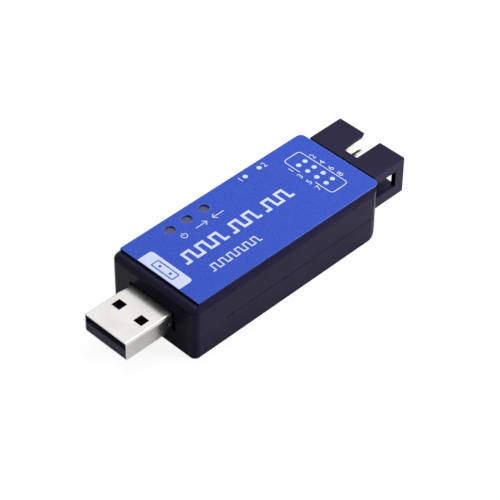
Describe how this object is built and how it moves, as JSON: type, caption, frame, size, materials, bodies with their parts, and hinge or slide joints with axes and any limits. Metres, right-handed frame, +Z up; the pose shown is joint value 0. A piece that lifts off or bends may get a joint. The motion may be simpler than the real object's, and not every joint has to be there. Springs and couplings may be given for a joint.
{
  "type": "usb to serial adapter module",
  "caption": "Flat dark two-part case with a blue label plate, a metal computer plug at one end and a shrouded pin header at the other, with a slide selector in one long side.",
  "frame": {"origin": "centre of the case's underside, midway between its front and rear faces", "axes": "+X along the case towards the pin header, +Y towards the side with the selector, +Z up, out of the label"},
  "size_m": [0.075, 0.0238, 0.0136],
  "materials": {
    "case_plastic": "fine satin texture, dark violet black",
    "label_plastic": "satin royal blue plate with a faint grain",
    "white_ink": "flat white print",
    "board_laminate": "green solder mask",
    "plug_steel": "nickel plated sheet, satin",
    "tongue_plastic": "satin, blue black",
    "gold_plate": "gold flash over copper alloy",
    "pin_plate": "very pale polished flash, nearly silver",
    "header_plastic": "fine satin texture, dark violet black",
    "switch_steel": "plated sheet",
    "knob_plastic": "black",
    "tinned_metal": "tin plate",
    "chip_resin": "black moulding compound",
    "fuse_resin": "green laminate",
    "resistor_ceramic": "black glaze",
    "capacitor_ceramic": "tan ceramic",
    "clear_plastic": "smoke clear acrylic",
    "light_resin": "milky diode resin"
  },
  "bodies": {
    "adapter": {"bottom_shell": "case_plastic", "top_shell": "case_plastic", "label_plate": "label_plastic", "label_print": "white_ink", "circuit_board": "board_laminate", "plug_shell": "plug_steel", "plug_tongue": "tongue_plastic", "plug_contacts": "gold_plate", "header_body": "header_plastic", "header_pins": "pin_plate", "selector_housing": "switch_steel", "selector_terminals": "tinned_metal", "converter_chip": "chip_resin", "converter_chip_feet": "tinned_metal", "buffer_chip": "chip_resin", "buffer_chip_feet": "tinned_metal", "voltage_regulator": "chip_resin", "regulator_feet": "tinned_metal", "plug_surge_guard": "chip_resin", "header_surge_guard": "chip_resin", "surge_guard_feet": "tinned_metal", "resettable_fuse": "fuse_resin", "resistors": "resistor_ceramic", "capacitors": "capacitor_ceramic", "power_light_pipe": "clear_plastic", "power_light": "light_resin", "send_light_pipe": "clear_plastic", "send_light": "light_resin", "receive_light_pipe": "clear_plastic", "receive_light": "light_resin"},
    "selector": {"selector_knob": "knob_plastic"}
  },
  "joints": [
    {"name": "selector_slide", "type": "slide", "parent": "adapter", "child": "selector", "axis": [1, 0, 0], "range_m": [0, 0.002]}
  ]
}
